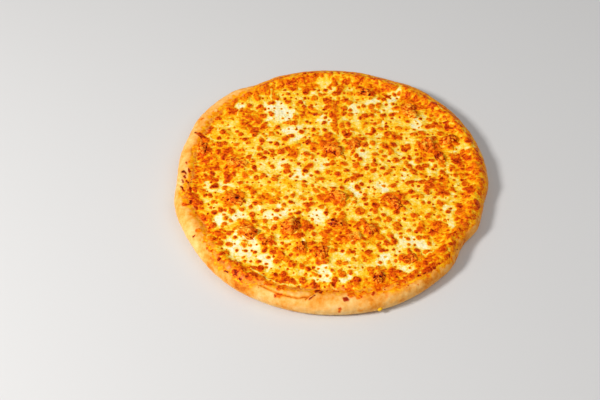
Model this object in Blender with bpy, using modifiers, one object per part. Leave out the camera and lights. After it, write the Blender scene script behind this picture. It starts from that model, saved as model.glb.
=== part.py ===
"""A whole round pizza: a dough crust with a raised uneven rim, one layer of melted cheese that climbs
the rim, and the cooked meat pieces that stand up out of the cheese. Metres, +Z up. The origin is on
the flat underside at the middle, and -Y is the side nearest to the viewer."""

import math

import bmesh
import bpy
import numpy as np

MM = 0.001
GAP = 0.3 * MM
WELD = 0.01 * MM

# Smooth noise: how many random slopes it has each way, and the gain that brings it to about -1 to 1
NOISE_GRID = 64
NOISE_GAIN = 1.6

# The crust: its outline by direction, counted in degrees from +X towards +Y, and its cross-section
MEAN_RADIUS = 150 * MM
OUTLINE_MM = (
    (0, 153.2), (12, 153.9), (22, 154.6), (50, 153.6), (67, 148.4), (84, 148.0), (110, 148.4), (119, 147.5),
    (131, 153.0), (144, 153.6), (162, 149.0), (180, 146.4), (192, 149.6), (208, 148.4), (236, 150.2), (250, 149.8),
    (270, 150.0), (290, 151.0), (316, 149.0), (329, 143.6), (339, 148.8), (348, 148.6),
)
TURN_STEPS = 116
WELL_HEIGHT = 12 * MM
RIM_CREST = 19.2 * MM
RIM_WIDEST = 9.5 * MM
CREST_INSET = 10.5 * MM
WELL_INSET = 27.5 * MM
FOOT_INSET = 6.5 * MM
SLOPE_RINGS = 5
SHOULDER_RINGS = 5
FOOT_RINGS = 4
# Each wave over the dough: the size of its bumps, their height and its seed
LONG_RIM_WAVE = (60 * MM, 1.1 * MM, 1)
SHORT_RIM_WAVE = (16 * MM, 0.6 * MM, 2)
WAVE_FADE = 4 * MM

# The cheese: how much dough it leaves bare at the edge, by direction, and how it lies
BARE_RIM_MM = (
    (0, 2.5), (30, 3.0), (48, 6.0), (62, 5.0), (90, 3.5), (112, 5.0), (132, 12.0), (150, 13.0), (170, 14.0),
    (190, 10.0), (206, 15.0), (215, 11.0), (224, 4.0), (238, 3.0), (250, 13.0), (268, 19.0), (284, 12.5),
    (296, 8.5), (308, 5.0), (320, 2.5), (342, 2.5),
)
CHEESE_LEVEL = 16.6 * MM
CHEESE_FILM = 1.4 * MM
CHEESE_FOOT = WELL_HEIGHT - 3 * MM
CHEESE_RINGS = 24
BROAD_WAVE = (42 * MM, 0.9 * MM, 4)
FINE_WAVE = (13 * MM, 0.7 * MM, 5)
EDGE_WAVE = (18 * MM, 2.0 * MM, 3)
FULL_WAVE_BARE = 12 * MM
JOIN_ROUNDING = 1.5 * MM
SWELL_REACH = 7 * MM
SWELL_HEIGHT = 1.1 * MM

# The meat pieces: name, middle (x, y), length, width, how far the top stands above the cheese, heading
MEAT_PIECES = (
    ("meat_01", (-35, -60), 22, 19, 6.5, 70),
    ("meat_02", (-77, -67), 21, 16, 5.5, 145),
    ("meat_03", (-59, -76), 12, 10, 3.5, 20),
    ("meat_04", (-28, -84), 13, 10, 3.5, 80),
    ("meat_05", (-8, -90), 18, 13, 4.5, 65),
    ("meat_06", (8, -25), 20, 13, 4.5, 140),
    ("meat_07", (2, 34), 23, 15, 5.0, 165),
    ("meat_08", (25, 42), 14, 12, 4.5, 60),
    ("meat_09", (97, 41), 17, 14, 5.0, 100),
    ("meat_10", (118, 46), 14, 12, 4.5, 30),
    ("meat_11", (107, 24), 17, 11, 4.0, 130),
    ("meat_12", (81, 85), 24, 15, 5.5, 105),
    ("meat_13", (59, -29), 22, 12, 4.5, 125),
    ("meat_14", (22, -72), 15, 11, 4.0, 15),
    ("meat_15", (5, -56), 17, 10, 3.5, 175),
    ("meat_16", (36, -64), 13, 11, 3.5, 130),
    ("meat_17", (-89, 17), 19, 13, 4.0, 170),
    ("meat_18", (-90, -29), 22, 13, 4.5, 150),
    ("meat_19", (38, 113), 16, 12, 4.0, 150),
    ("meat_20", (72, -97), 16, 12, 4.5, 10),
    ("meat_21", (42, -118), 15, 11, 3.5, 60),
    ("meat_22", (-123, 38), 18, 10, 3.5, 80),
)
MEAT_SUNK = 3.2 * MM
MEAT_UNDERSIDE = 0.25
BLOCK_POWER = 2.6
# Each set of lumps on a piece: the waves' mean number of radians over a ball's radius, their height as a
# share of the radius, and what is added to the piece's number for its seed
BROAD_LUMPS = (2.2, 0.16, 100)
SMALL_LUMPS = (5.0, 0.08, 200)
LUMP_WAVES = 6
LUMP_GAIN = 2.0

MATERIALS = {
    "crust": ((0.80, 0.42, 0.14), 0.62),
    "cheese": ((0.88, 0.52, 0.07), 0.38),
    "meat": ((0.62, 0.20, 0.04), 0.45),
}
SHARP_EDGE_DEGREES = 50


def wave(x, y, form):
    """Smooth noise at every place for a (size, height, seed): random slopes on a square grid, eased."""
    size, height, seed = form
    slopes = np.random.default_rng(seed).uniform(0, 2 * math.pi, (NOISE_GRID, NOISE_GRID))
    column = np.floor(x / size).astype(int)
    row = np.floor(y / size).astype(int)
    right = x / size - column
    up = y / size - row

    def from_corner(columns, rows):
        slope = slopes[(column + columns) % NOISE_GRID, (row + rows) % NOISE_GRID]
        return np.cos(slope) * (right - columns) + np.sin(slope) * (up - rows)

    ease_right = right**3 * (right * (right * 6 - 15) + 10)
    ease_up = up**3 * (up * (up * 6 - 15) + 10)
    lower = from_corner(0, 0) * (1 - ease_right) + from_corner(1, 0) * ease_right
    upper = from_corner(0, 1) * (1 - ease_right) + from_corner(1, 1) * ease_right
    return height * NOISE_GAIN * (lower * (1 - ease_up) + upper * ease_up)


def by_direction(table, direction):
    """The value in millimetres at each direction in radians, eased between the table's (degrees, value)."""
    ends, values = np.array(table + ((table[0][0] + 360, table[0][1]),)).T
    degrees = np.degrees(direction) % 360
    last = np.clip(np.searchsorted(ends, degrees, side="right") - 1, 0, len(table) - 1)
    share = (degrees - ends[last]) / (ends[last + 1] - ends[last])
    return values[last] + (values[last + 1] - values[last]) * (1 - np.cos(math.pi * share)) / 2


def outline(direction):
    return by_direction(OUTLINE_MM, direction) * MM


def crust_top(inset):
    """The dough's mean height at a distance in from the outline: an elliptical shoulder, then a slope."""
    across = np.clip((CREST_INSET - inset) / CREST_INSET, 0, 1)
    shoulder = RIM_WIDEST + (RIM_CREST - RIM_WIDEST) * np.sqrt(1 - across**2)
    share = np.clip((inset - CREST_INSET) / (WELL_INSET - CREST_INSET), 0, 1)
    slope = WELL_HEIGHT + (RIM_CREST - WELL_HEIGHT) * (1 + np.cos(math.pi * share)) / 2
    return np.where(inset < CREST_INSET, shoulder, slope)


def rim_unevenness(direction, inset, height):
    """How far the dough is above its mean height: long waves and small lumps, none at the well."""
    x = (MEAN_RADIUS - inset) * np.cos(direction)
    y = (MEAN_RADIUS - inset) * np.sin(direction)
    share = np.clip(1 - inset / WELL_INSET, 0, 1) * np.clip((height - RIM_WIDEST) / WAVE_FADE, 0, 1)
    return share * (wave(x, y, LONG_RIM_WAVE) + wave(x, y, SHORT_RIM_WAVE))


def crust_profile():
    """(inset, height) pairs from the well's edge over the rim, down the outer side and in to the foot."""
    slope = [WELL_INSET + (CREST_INSET - WELL_INSET) * k / SLOPE_RINGS for k in range(SLOPE_RINGS)]
    points = [(inset, float(crust_top(inset))) for inset in slope]
    for k in range(SHOULDER_RINGS + 1):
        angle = math.pi / 2 * (1 - k / SHOULDER_RINGS)
        height = RIM_WIDEST + (RIM_CREST - RIM_WIDEST) * math.sin(angle)
        points.append((CREST_INSET * (1 - math.cos(angle)), height))
    for k in range(1, FOOT_RINGS + 1):
        angle = math.pi / 2 * k / FOOT_RINGS
        points.append((FOOT_INSET * (1 - math.cos(angle)), RIM_WIDEST * (1 - math.sin(angle))))
    return points


def new_object(name, mesh, collection, location=(0, 0, 0)):
    made = bpy.data.objects.new(name, mesh)
    made.location = location
    collection.objects.link(made)
    return made


def new_cutter(name, mesh, collection):
    """A hidden copy of a piece, raised by the gap that its neighbour keeps from it."""
    cutter = new_object(name, mesh, collection, (0, 0, GAP))
    cutter.hide_render = True
    cutter.display_type = "WIRE"
    return cutter


def cut_with(piece, cutter):
    cut = piece.modifiers.new("clear of " + cutter.name, "BOOLEAN")
    cut.operation = "DIFFERENCE"
    cut.solver = "EXACT"
    cut.object = cutter


def move_corners(mesh, place):
    """Moves all of a mesh's corners at once to where the given function puts them."""
    corners = np.empty(len(mesh.vertices) * 3, dtype=np.float32)
    mesh.vertices.foreach_get("co", corners)
    moved = place(corners.reshape(-1, 3).astype(float))
    mesh.vertices.foreach_set("co", np.stack(moved, axis=1).astype(np.float32).ravel())
    mesh.update()


def turned_rim(collection):
    """The rim's cross-section turned about the middle, open at the well and at the foot."""
    points = crust_profile()
    profile = bpy.data.meshes.new("rim_profile")
    corners = [(MEAN_RADIUS - inset, 0, height) for inset, height in points]
    profile.from_pydata(corners, [(k, k + 1) for k in range(len(corners) - 1)], [])
    turned = new_object("rim_profile", profile, collection)
    screw = turned.modifiers.new("turn", "SCREW")
    screw.axis = "Z"
    screw.steps = TURN_STEPS
    screw.render_steps = TURN_STEPS
    screw.use_merge_vertices = True
    screw.merge_threshold = WELD
    bpy.context.view_layer.update()
    graph = bpy.context.evaluated_depsgraph_get()
    mesh = bpy.data.meshes.new_from_object(turned.evaluated_get(graph))
    bpy.data.objects.remove(turned)
    mesh.name = "crust"
    return mesh


def push_to_outline(corners):
    """Moves the turned crust out to the pizza's own outline, and gives its upper side its waves."""
    x, y, height = corners.T
    direction = np.arctan2(y, x)
    inset = MEAN_RADIUS - np.hypot(x, y)
    radius = outline(direction) - inset
    uneven = height + rim_unevenness(direction, inset, height)
    return radius * np.cos(direction), radius * np.sin(direction), uneven


def close_holes(shape):
    bmesh.ops.holes_fill(shape, edges=[edge for edge in shape.edges if edge.is_boundary], sides=0)
    bmesh.ops.recalc_face_normals(shape, faces=shape.faces)


def make_crust(parts, helpers):
    """The turned rim, closed with a flat floor and foot, at the pizza's own outline."""
    mesh = turned_rim(helpers)
    shape = bmesh.new()
    shape.from_mesh(mesh)
    bmesh.ops.remove_doubles(shape, verts=shape.verts, dist=WELD)
    close_holes(shape)
    shape.to_mesh(mesh)
    shape.free()
    move_corners(mesh, push_to_outline)
    return new_object("crust", mesh, parts)


def cheese_edge(direction):
    """The radius of the cheese's ragged edge: the outline, less the bare dough, in and out by a wave."""
    bare = by_direction(BARE_RIM_MM, direction) * MM
    ragged = wave(MEAN_RADIUS * np.cos(direction), MEAN_RADIUS * np.sin(direction), EDGE_WAVE)
    return outline(direction) - bare + ragged * np.clip(bare / FULL_WAVE_BARE, 0, 1)


def meat_swell(x, y):
    """How far the cheese is pushed up at each place by the nearest meat piece."""
    swell = np.zeros_like(x)
    for _, middle, length, width, _, _ in MEAT_PIECES:
        away = np.hypot(x - middle[0] * MM, y - middle[1] * MM) - (length + width) / 4 * MM
        swell = np.maximum(swell, np.clip(1 - away / SWELL_REACH, 0, 1))
    return SWELL_HEIGHT * swell**2 * (3 - 2 * swell)


def cheese_top(x, y):
    """The height of the cheese: a wavy level in the middle, and a film that follows the dough up the rim,
    joined by a smooth maximum."""
    direction = np.arctan2(y, x)
    inset = outline(direction) - np.hypot(x, y)
    dough = crust_top(inset)
    film = dough + rim_unevenness(direction, inset, dough) + CHEESE_FILM
    level = CHEESE_LEVEL + meat_swell(x, y) + wave(x, y, BROAD_WAVE) + wave(x, y, FINE_WAVE)
    return (level + film + np.sqrt((level - film) ** 2 + JOIN_ROUNDING**2)) / 2


def lay_on_crust(corners):
    """Turns the unit hexagon into the cheese's disc, ring by ring, and lifts it to the cheese's top."""
    across, along = corners[:, 1], -corners[:, 0]
    sixth = math.pi / 3
    turn = np.arctan2(along, across) % (2 * math.pi)
    sector = np.floor(turn / sixth)
    local = turn - sector * sixth - sixth / 2
    share = np.hypot(across, along) * np.cos(local) / math.cos(sixth / 2)
    direction = (sector + (np.tan(local) / math.tan(sixth / 2) + 1) / 2) * sixth
    x = share * cheese_edge(direction) * np.cos(direction)
    y = share * cheese_edge(direction) * np.sin(direction)
    return x, y, cheese_top(x, y)


def make_cheese_mesh():
    """A disc of even triangles laid over the crust, with a side and a flat bottom inside the dough."""
    shape = bmesh.new()
    bmesh.ops.create_circle(shape, cap_ends=True, cap_tris=True, segments=6, radius=1)
    bmesh.ops.subdivide_edges(shape, edges=shape.edges[:], cuts=CHEESE_RINGS - 1, use_grid_fill=True)
    mesh = bpy.data.meshes.new("cheese")
    shape.to_mesh(mesh)
    shape.free()
    move_corners(mesh, lay_on_crust)

    shape = bmesh.new()
    shape.from_mesh(mesh)
    bmesh.ops.recalc_face_normals(shape, faces=shape.faces)
    edge = [side for side in shape.edges if side.is_boundary]
    lower = bmesh.ops.extrude_edge_only(shape, edges=edge)["geom"]
    for corner in (item for item in lower if isinstance(item, bmesh.types.BMVert)):
        corner.co.z = CHEESE_FOOT
    close_holes(shape)
    shape.to_mesh(mesh)
    shape.free()
    return mesh


def lumps(ways, form, number):
    """An uneven swelling over a ball's directions: the mean of a few waves that run random ways."""
    scale, height, seed = form
    draw = np.random.default_rng(seed + number)
    runs = draw.normal(0, scale, (3, LUMP_WAVES))
    starts = draw.uniform(0, 2 * math.pi, LUMP_WAVES)
    return height * LUMP_GAIN * np.sin(ways @ runs + starts).mean(axis=1)


def make_meat(number, entry, parts):
    """One chunk: a ball made blocky and lumpy, stretched to the piece's size, with a shallow underside."""
    name, middle, length, width, above, heading = entry
    x, y = middle[0] * MM, middle[1] * MM
    base = float(cheese_top(np.array([x]), np.array([y]))[0]) - MEAT_SUNK
    turn = math.radians(heading)

    def chunk(ways):
        blocky = ways / (np.abs(ways) ** BLOCK_POWER).sum(axis=1, keepdims=True) ** (1 / BLOCK_POWER)
        swelling = 1 + lumps(ways, BROAD_LUMPS, number) + lumps(ways, SMALL_LUMPS, number)
        along, across, up = (blocky * swelling[:, None]).T
        along = along * length / 2 * MM
        across = across * width / 2 * MM
        up = up * (above * MM + MEAT_SUNK)
        return (
            x + along * math.cos(turn) - across * math.sin(turn),
            y + along * math.sin(turn) + across * math.cos(turn),
            base + np.where(up > 0, up, up * MEAT_UNDERSIDE),
        )

    shape = bmesh.new()
    bmesh.ops.create_icosphere(shape, subdivisions=3, radius=1)
    mesh = bpy.data.meshes.new(name)
    shape.to_mesh(mesh)
    shape.free()
    move_corners(mesh, chunk)
    return new_object(name, mesh, parts)


def finish(piece, material_name):
    """Smooth shading, and the material for this kind of piece, made the first time that it is asked for."""
    material = bpy.data.materials.get(material_name)
    if material is None:
        colour, roughness = MATERIALS[material_name]
        material = bpy.data.materials.new(material_name)
        material.use_nodes = True
        shader = material.node_tree.nodes["Principled BSDF"]
        shader.inputs["Base Color"].default_value = (*colour, 1)
        shader.inputs["Roughness"].default_value = roughness
        shader.inputs["Metallic"].default_value = 0
    piece.data.materials.clear()
    piece.data.materials.append(material)
    piece.data.shade_smooth()
    piece.data.set_sharp_from_angle(angle=math.radians(SHARP_EDGE_DEGREES))


def main():
    for old in list(bpy.data.objects):
        bpy.data.objects.remove(old)
    parts = bpy.data.collections.new("pizza")
    cutters = bpy.data.collections.new("cutters")
    bpy.context.scene.collection.children.link(parts)
    bpy.context.scene.collection.children.link(cutters)

    crust = make_crust(parts, cutters)
    cheese_mesh = make_cheese_mesh()
    cheese = new_object("cheese", cheese_mesh, parts)
    cheese_cutter = new_cutter("cheese_cutter", cheese_mesh, cutters)
    cut_with(cheese, new_cutter("crust_cutter", crust.data, cutters))
    finish(crust, "crust")
    finish(cheese, "cheese")
    for number, entry in enumerate(MEAT_PIECES):
        piece = make_meat(number, entry, parts)
        cut_with(piece, cheese_cutter)
        finish(piece, "meat")


main()
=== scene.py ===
"""The looks of a whole baked pizza: golden dough, browned melted cheese and pieces of cooked meat.

Lengths are in metres, with MM for the millimetres that a cook would name. X is to the right in the picture,
Y away from the viewer and Z up; the origin is the centre of the flat underside. Angles by direction are in
degrees, anticlockwise from +X. Every surface is worked out as whole numpy arrays from a formula.
"""

import math

import bpy
import numpy as np
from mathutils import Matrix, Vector


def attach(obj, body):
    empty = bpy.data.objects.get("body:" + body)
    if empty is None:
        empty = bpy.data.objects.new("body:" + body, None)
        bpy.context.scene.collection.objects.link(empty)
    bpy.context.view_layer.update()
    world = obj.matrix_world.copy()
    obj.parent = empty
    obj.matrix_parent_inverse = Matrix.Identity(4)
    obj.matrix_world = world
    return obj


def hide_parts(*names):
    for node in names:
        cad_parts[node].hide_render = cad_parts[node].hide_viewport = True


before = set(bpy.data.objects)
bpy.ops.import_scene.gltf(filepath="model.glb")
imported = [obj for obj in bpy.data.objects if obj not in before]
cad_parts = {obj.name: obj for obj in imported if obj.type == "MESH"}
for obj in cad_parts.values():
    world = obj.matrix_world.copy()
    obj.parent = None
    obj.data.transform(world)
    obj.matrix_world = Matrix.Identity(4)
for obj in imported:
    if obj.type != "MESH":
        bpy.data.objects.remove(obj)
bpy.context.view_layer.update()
MM = 0.001

# The studio
# A plain pale floor, a fairly small warm lamp on the left and a little in front, a broad weak one on the
# right and a pale surround, seen from in front and above through a long lens.
CAMERA_AIM = Vector((-27.9, -14.4, 0)) * MM
CAMERA_ELEVATION = math.radians(50.86)
CAMERA_DISTANCE = 1.1194
FLOOR_SIDE = 8
FLOOR_DROP = 0.2 * MM
FLOOR_COLOUR = (0.65, 0.65, 0.655, 1)

scene = bpy.context.scene
scene.view_settings.view_transform = "Standard"
scene.world = bpy.data.worlds.new("surround")
scene.world.use_nodes = True
surround = scene.world.node_tree.nodes["Background"]
surround.inputs["Color"].default_value = (1.0, 0.99, 0.97, 1)
surround.inputs["Strength"].default_value = 0.30

camera = bpy.data.objects.new("camera", bpy.data.cameras.new("camera"))
scene.collection.objects.link(camera)
scene.camera = camera
camera.data.lens = 70
camera.data.sensor_width = 36
towards_viewer = Vector((0, -math.cos(CAMERA_ELEVATION), math.sin(CAMERA_ELEVATION)))
camera.location = CAMERA_AIM + CAMERA_DISTANCE * towards_viewer
camera.rotation_euler = towards_viewer.to_track_quat("Z", "Y").to_euler()


def add_lamp(name, place, side, power, colour):
    """A square soft lamp at a place, turned to the middle of the pizza."""
    light = bpy.data.lights.new(name, "AREA")
    light.size = side
    light.energy = power
    light.color = colour
    lamp = bpy.data.objects.new(name, light)
    scene.collection.objects.link(lamp)
    lamp.location = place
    lamp.rotation_euler = Vector(place).to_track_quat("Z", "Y").to_euler()


add_lamp("key_lamp", (-1.15, -0.55, 1.20), 0.36, 27, (1, 0.98, 0.95))
add_lamp("fill_lamp", (0.8, -0.3, 1.5), 1.2, 6, (1, 1, 1))


def feed(tree, node, inputs):
    """Gives inputs of a node a number, a colour or a link from another node's socket."""
    for socket, value in inputs.items():
        if isinstance(value, bpy.types.NodeSocket):
            tree.links.new(value, node.inputs[socket])
        else:
            node.inputs[socket].default_value = value


def add_node(tree, kind, inputs=None, **settings):
    """A shader node with its settings and inputs."""
    node = tree.nodes.new(kind)
    for setting, value in settings.items():
        setattr(node, setting, value)
    feed(tree, node, inputs or {})
    return node


def new_material(name):
    """A material with its node tree and its Principled shader."""
    material = bpy.data.materials.new(name)
    material.use_nodes = True
    return material, material.node_tree, material.node_tree.nodes["Principled BSDF"]


floor_material, tree, shader = new_material("floor_paint")
feed(tree, shader, {"Base Color": FLOOR_COLOUR, "Roughness": 0.8, "Specular IOR Level": 0.1})
floor_mesh = bpy.data.meshes.new("floor")
corners = ((-1, -1), (1, -1), (1, 1), (-1, 1))
floor_points = [(x * FLOOR_SIDE / 2, y * FLOOR_SIDE / 2, -FLOOR_DROP) for x, y in corners]
floor_mesh.from_pydata(floor_points, [], [(0, 1, 2, 3)])
floor_mesh.materials.append(floor_material)
floor = bpy.data.objects.new("floor", floor_mesh)
scene.collection.objects.link(floor)

# The crust
# Risen yeast dough, pressed out round and baked in a tin: a flat base with a raised, uneven, golden rim,
# which is bare on the left and in front. It is one piece, and the cheese lies on it.
NOISE_GRID = 64
NOISE_GAIN = 1.6
MEAN_RADIUS = 150 * MM
OUTLINE_MM = (
    (0, 153.2), (12, 153.9), (22, 154.6), (50, 153.6), (67, 148.4), (84, 148.0), (110, 148.4),
    (119, 147.5), (131, 153.0), (144, 153.6), (162, 149.0), (180, 146.4), (192, 149.6), (208, 148.4),
    (236, 150.2), (250, 149.8), (270, 150.0), (290, 151.0), (316, 149.0), (329, 143.6), (339, 148.8),
    (348, 148.6),
)
WELL_HEIGHT = 12 * MM
RIM_CREST = 19.2 * MM
RIM_WIDEST = 9.5 * MM
CREST_INSET = 10.5 * MM
WELL_INSET = 27.5 * MM
FOOT_INSET = 6.5 * MM
LONG_RIM_WAVE = (60 * MM, 1.1 * MM, 1)
SHORT_RIM_WAVE = (16 * MM, 0.6 * MM, 2)
WAVE_FADE = 4 * MM
# How much of the rim the cheese leaves bare, by direction.
BARE_RIM_MM = (
    (0, 2.5), (30, 3.0), (48, 6.0), (62, 5.0), (90, 3.5), (112, 5.0), (132, 12.0), (150, 13.0),
    (170, 14.0), (190, 10.0), (206, 15.0), (215, 11.0), (224, 4.0), (238, 3.0), (250, 13.0), (268, 19.0),
    (284, 12.5), (296, 8.5), (308, 5.0), (320, 2.5), (342, 2.5),
)
EDGE_WAVE = (18 * MM, 2.0 * MM, 3)
FINE_EDGE_WAVE = (5 * MM, 1.2 * MM, 31)
FULL_WAVE_BARE = 12 * MM

CRUST_AROUND = 1080
WELL_RINGS = 3
SLOPE_RINGS = 24
SHOULDER_RINGS = 24
FOOT_RINGS = 16
BASE_RINGS = 24
# Pimples and grain of the dough's skin.
PIMPLES = (6.5 * MM, 0.40 * MM, 32)
GRAIN = (2.6 * MM, 0.16 * MM, 33)
GRAIN_SUNK = 0.25 * MM
LEAST_GRAIN = -0.08 * MM
# Folds and cracks in the bare rim: (width, depth, path over the rim seen from above), all in mm.
CREASES_MM = (
    (1.4, 1.2, ((-64, -126), (-56, -131), (-45, -136.5), (-30, -140.5), (-21, -139))),
    (1.2, 0.7, ((-60, -121), (-46, -127), (-30, -129.5), (-18, -129))),
    (0.9, 1.3, ((-23, -142), (-19, -138), (-15, -135))),
    (0.8, 0.8, ((-144, -8), (-139, -13), (-136, -18))),
    (0.8, 0.8, ((-140, 2), (-136, -5), (-132, -12))),
    (0.7, 0.6, ((-143, -20), (-138, -25))),
    (0.8, 0.5, ((-134, 42), (-133, 34), (-132, 27))),
)
# Toasted drips and flakes of cheese at the bare rim: (radius, depth of colour, path), in mm.
DRIPS_MM = (
    (3.6, 0.69, ((17.5, -137), (15.8, -129.5))), (2.6, 0.67, ((23.4, -139.6), (29.5, -134.3))),
    (1.5, 0.80, ((36.6, -137), (37, -135))), (3.4, 0.70, ((40, -131), (42, -126), (45.6, -118))),
    (2.6, 0.70, ((61.5, -125.5), (63, -123.5))), (2.4, 0.70, ((69, -120.5), (70, -119))),
    (1.1, 0.72, ((72, -118.5), (73, -117.5))), (0.8, 0.90, ((78, -117), (79.5, -116.5))),
    (0.8, 0.92, ((83, -115), (84, -114))), (1.3, 0.76, ((84, -110.5), (85.5, -110))),
    (1.2, 0.82, ((88, -110), (89.5, -109))), (0.8, 0.92, ((92, -109), (94, -108))),
    (1.4, 0.78, ((91.5, -104.5), (93, -103.5))), (0.9, 0.90, ((96, -104), (98, -103))),
    (2.3, 0.87, ((12, -142.4), (12.6, -142.2))), (1.8, 0.76, ((-49, -137), (-45.5, -137.6))),
    (2.9, 0.68, ((-56.5, -125), (-53.5, -126))), (3.0, 0.72, ((-46.5, -130.5), (-43.5, -128))),
    (0.7, 0.96, ((-20, -142.6), (-14.5, -138.2))), (2.2, 0.91, ((-13.6, -132.6), (-12, -130.6))),
    (1.6, 0.92, ((-9.6, -134), (-8.4, -132.4))), (0.8, 0.88, ((-5, -132), (-3.5, -130))),
    (2.3, 0.76, ((-136.5, -34.5), (-133, -35))), (1.2, 0.97, ((-131, -33), (-130, -30))),
    (2.6, 0.64, ((-121.5, -66), (-120, -65.5))), (0.8, 0.92, ((-126, -71), (-124.5, -70.5))),
    (1.0, 0.78, ((-112.5, -86.5), (-111.5, -85.5))), (1.1, 0.80, ((-108.5, -89.5), (-107, -88.5))),
    (1.5, 0.86, ((-102, -99.5), (-100.5, -98.5))), (2.2, 0.84, ((-87.5, -112.5), (-85.5, -112.8))),
    (0.9, 0.92, ((-95, -110), (-92.5, -111.5))), (1.2, 0.82, ((-87.5, -115), (-85.5, -115.5))),
    (1.0, 0.88, ((-83, -119.5), (-80.5, -120))), (2.4, 0.84, ((-74.5, -119), (-72, -120))),
    (1.2, 0.92, ((-140, 6), (-137.5, 3))), (1.2, 0.96, ((-138.5, 0), (-137, -2))),
    (1.0, 0.94, ((-136, -5), (-134, -8))), (0.9, 0.92, ((-141, -4), (-138.5, -8))),
    (1.0, 0.76, ((-138, 17), (-137, 15))), (0.9, 0.93, ((-141, -12), (-137.5, -18))),
    (1.1, 0.90, ((-134.5, 9), (-133.5, 6))), (1.0, 0.92, ((-132, -14), (-131, -19))),
    (0.8, 0.9, ((-131, 56), (-130, 55))), (2.6, 0.84, ((-127, 54), (-124.5, 51))),
    (1.2, 0.68, ((-127, 74), (-125, 75))), (0.8, 0.76, ((6, -149), (8, -149))),
    (0.8, 0.72, ((25, -149), (27, -149))),
)
# Folds of paler dough on the bare rim: (width, strength, path), in mm.
PALE_FOLDS_MM = (
    (3.2, 1.0, ((-52, -132), (-40, -134.5), (-22, -134.5))), (1.2, 1.2, ((-146, -4), (-139, -13))),
    (1.2, 1.2, ((-146, -10), (-139, -19))), (1.0, 1.0, ((-145, 2), (-140, -6))),
    (4.0, 0.6, ((-136, -62), (-122, -88))), (3.0, 0.5, ((-104, -106), (-84, -122))),
    (2.0, 0.6, ((-137, 50), (-134, 38))),
)
# Specks of scorched cheese and crumb round its edge: (spacing, smallest and largest radius, share of
# places that hold one, least and greatest depth of colour, seed).
EDGE_SPECKS = (4.2 * MM, 0.3 * MM, 0.8 * MM, 0.5, 0.55, 0.9, 34)
SPECKS_REACH = 7 * MM
# The film of cheese and oil that stained the dough past the cheese's lip: how far out by direction, its
# raggedness and its depth of colour.
FILM_REACH_MM = (
    (0, 0.5), (120, 2), (150, 3), (190, 4), (206, 3), (222, 1), (238, 1), (252, 7), (270, 8), (292, 6),
    (306, 2), (320, 0.5),
)
FILM_WAVE = (5 * MM, 3.0 * MM, 45)
FILM_DEPTH = 0.57
SPOT_SHIFT = 0.42
# How the drips' outlines are bent: (size, amount, seed) of the waves for x, and for y.
DRIP_BENDS = (((3.5 * MM, 0.8 * MM, 43),), ((3.5 * MM, 0.8 * MM, 44),))
DRIP_HEIGHT = 0.3
# Depth of baking of the plain dough, what oil adds, and what pale folds and the foot of the wall take away.
DOUGH_BAKED = 0.43
OILED = 0.20
FOLD_PALENESS = 0.18
FOOT_PALENESS = 0.14
UNDERSIDE_BAKED = 0.56
SKIN_PATCHES = ((24 * MM, 0.13, 41), (7 * MM, 0.12, 42))


def wave(x, y, form):
    """Smooth noise at every place for a (size, height, seed): random slopes on a grid, eased between."""
    size, height, seed = form
    slopes = np.random.default_rng(seed).uniform(0, 2 * math.pi, (NOISE_GRID, NOISE_GRID))
    column = np.floor(x / size).astype(int)
    row = np.floor(y / size).astype(int)
    right = x / size - column
    up = y / size - row

    def from_corner(columns, rows):
        slope = slopes[(column + columns) % NOISE_GRID, (row + rows) % NOISE_GRID]
        return np.cos(slope) * (right - columns) + np.sin(slope) * (up - rows)

    ease_right = right**3 * (right * (right * 6 - 15) + 10)
    ease_up = up**3 * (up * (up * 6 - 15) + 10)
    lower = from_corner(0, 0) * (1 - ease_right) + from_corner(1, 0) * ease_right
    upper = from_corner(0, 1) * (1 - ease_right) + from_corner(1, 1) * ease_right
    return height * NOISE_GAIN * (lower * (1 - ease_up) + upper * ease_up)


def by_direction(table, direction):
    """A table's value at every direction, eased between its entries and joined round the circle."""
    ends, values = np.array(table + ((table[0][0] + 360, table[0][1]),)).T
    degrees = np.degrees(direction) % 360
    last = np.clip(np.searchsorted(ends, degrees, side="right") - 1, 0, len(table) - 1)
    share = (degrees - ends[last]) / (ends[last + 1] - ends[last])
    return values[last] + (values[last + 1] - values[last]) * (1 - np.cos(math.pi * share)) / 2


def ease(value, start, end):
    """0 before start and 1 past end, with a smooth S between them."""
    share = np.clip((value - start) / (end - start), 0, 1)
    return share * share * (3 - 2 * share)


def place_of(direction, radius):
    """X and Y at a direction and a distance from the middle."""
    return radius * np.cos(direction), radius * np.sin(direction)


def outline(direction):
    """Distance from the middle to the rim's widest part."""
    return by_direction(OUTLINE_MM, direction) * MM


def crust_top(inset):
    """Height of the dough by its distance in from the outline: quarter ellipse, cosine slope, flat well."""
    across = np.clip((CREST_INSET - inset) / CREST_INSET, 0, 1)
    shoulder = RIM_WIDEST + (RIM_CREST - RIM_WIDEST) * np.sqrt(1 - across**2)
    share = np.clip((inset - CREST_INSET) / (WELL_INSET - CREST_INSET), 0, 1)
    slope = WELL_HEIGHT + (RIM_CREST - WELL_HEIGHT) * (1 + np.cos(math.pi * share)) / 2
    return np.where(inset < CREST_INSET, shoulder, slope)


def rim_unevenness(direction, inset, height):
    """Long and short waves of the rim, fading out into the well and down the outer wall."""
    x, y = place_of(direction, MEAN_RADIUS - inset)
    share = np.clip(1 - inset / WELL_INSET, 0, 1) * np.clip((height - RIM_WIDEST) / WAVE_FADE, 0, 1)
    return share * (wave(x, y, LONG_RIM_WAVE) + wave(x, y, SHORT_RIM_WAVE))


def dough_height(x, y):
    """Top of the dough at a place, without the grain of its skin."""
    direction = np.arctan2(y, x)
    inset = outline(direction) - np.hypot(x, y)
    height = crust_top(inset)
    return height + rim_unevenness(direction, inset, height)


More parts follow.
